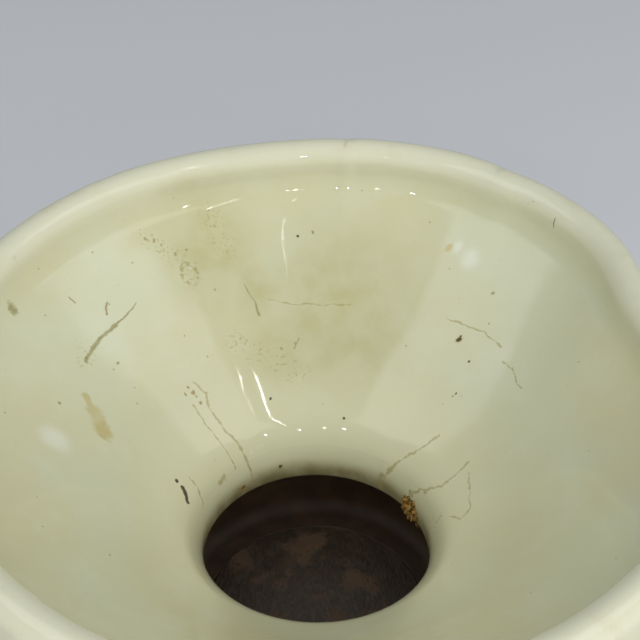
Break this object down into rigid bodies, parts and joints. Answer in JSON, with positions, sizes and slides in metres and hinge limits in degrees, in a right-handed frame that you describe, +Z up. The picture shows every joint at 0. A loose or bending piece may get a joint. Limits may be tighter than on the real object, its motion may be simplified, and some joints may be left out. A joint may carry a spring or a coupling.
{
  "type": "buchner funnel",
  "caption": "Wide conical stoneware Buchner funnel whose bowl lifts off a filter body with a loose sieve plate, seals, a long stem and a flask stopper.",
  "frame": {"origin": "on the funnel's axis, in the plane of the flask's mouth where the rubber stopper seats", "axes": "+Z up along the funnel's axis, out of the bowl; the stem's slanted tip is lowest towards +X"},
  "size_m": [0.25, 0.25, 0.255],
  "materials": {
    "cream_glaze": "glossy cream glaze with hairline cracks and brown stains",
    "body_glaze": "glossy cream glaze outside, dark brown glaze inside the chamber",
    "biscuit": "matt stained biscuit",
    "wet_paper": "wet, stained brown",
    "red_rubber": "matt red-brown rubber",
    "plate_rubber": "wet red-brown rubber",
    "black_rubber": "matt black rubber"
  },
  "bodies": {
    "stopper": {"rubber_stopper": "black_rubber"},
    "body": {"filter_body": "body_glaze", "joint_ring": "red_rubber", "plate_ring": "plate_rubber"},
    "upper_bowl": {"bowl": "cream_glaze"},
    "plate": {"sieve_plate": "biscuit"},
    "paper": {"filter_paper": "wet_paper"}
  },
  "joints": [
    {"name": "body_lift", "type": "slide", "parent": "stopper", "child": "body", "axis": [0, 0, 1], "range_m": [0, 0.115]},
    {"name": "bowl_lift", "type": "slide", "parent": "body", "child": "upper_bowl", "axis": [0, 0, 1], "range_m": [0, 0.08]},
    {"name": "plate_lift", "type": "slide", "parent": "body", "child": "plate", "axis": [0, 0, 1], "range_m": [0, 0.13]},
    {"name": "paper_lift", "type": "slide", "parent": "plate", "child": "paper", "axis": [0, 0, 1], "range_m": [0, 0.125]}
  ]
}
